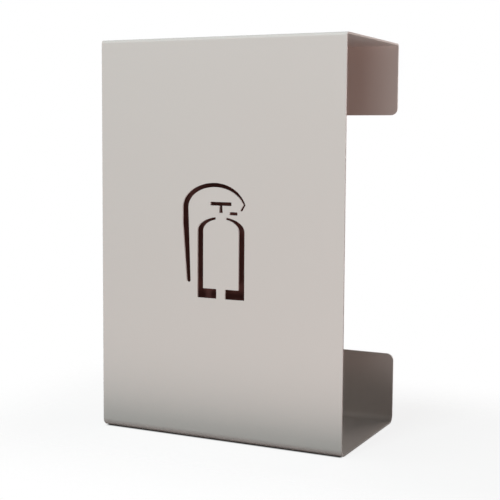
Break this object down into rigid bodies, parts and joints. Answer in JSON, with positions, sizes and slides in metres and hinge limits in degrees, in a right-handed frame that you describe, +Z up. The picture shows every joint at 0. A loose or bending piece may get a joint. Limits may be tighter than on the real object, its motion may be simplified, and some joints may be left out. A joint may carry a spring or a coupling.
{
  "type": "fire extinguisher holder",
  "caption": "Folded sheet steel holder for a fire extinguisher, with a tall front panel that carries a cut-out figure, open sides and flanges for wall screws.",
  "frame": {"origin": "under the middle of the base, at floor level", "axes": "+X to the right seen from the front, the front panel faces -Y, the wall flanges face +Y, +Z up"},
  "size_m": [0.3, 0.17, 0.45],
  "materials": {
    "holder_sheet": "warm light grey fine-textured powder coat, semi-matt"
  },
  "bodies": {
    "root": {"holder_sheet": "holder_sheet"}
  },
  "joints": []
}
